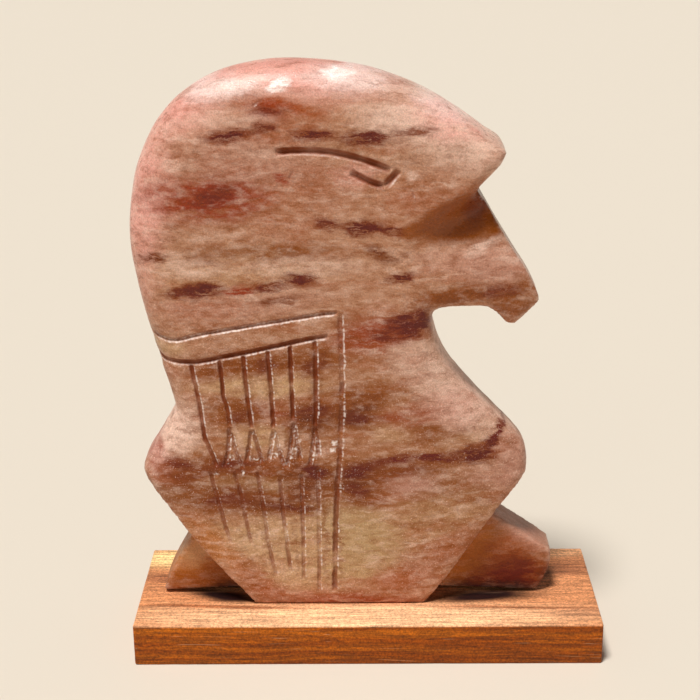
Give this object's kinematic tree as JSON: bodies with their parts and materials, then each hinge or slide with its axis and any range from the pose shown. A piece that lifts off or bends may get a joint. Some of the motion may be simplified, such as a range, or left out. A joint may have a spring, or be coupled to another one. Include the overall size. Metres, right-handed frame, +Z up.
{
  "type": "eagle head carving",
  "caption": "Stylised eagle head with a hooked beak and lined neck feathers, carved from one slab of banded stone, standing on a plain wooden board.",
  "frame": {"origin": "middle of the wooden board's underside", "axes": "+Z up, +X towards the beak, and the carved front faces -Y"},
  "size_m": [0.1468, 0.051, 0.1856],
  "materials": {
    "banded_stone": "semi-polished pink and tan banded soft stone, waxy on the head and duller on the chest",
    "oiled_wood": "oiled orange-brown hardwood with fine straight grain along its length"
  },
  "bodies": {
    "root": {"stone_eagle_head": "banded_stone", "wood_base": "oiled_wood"}
  },
  "joints": []
}
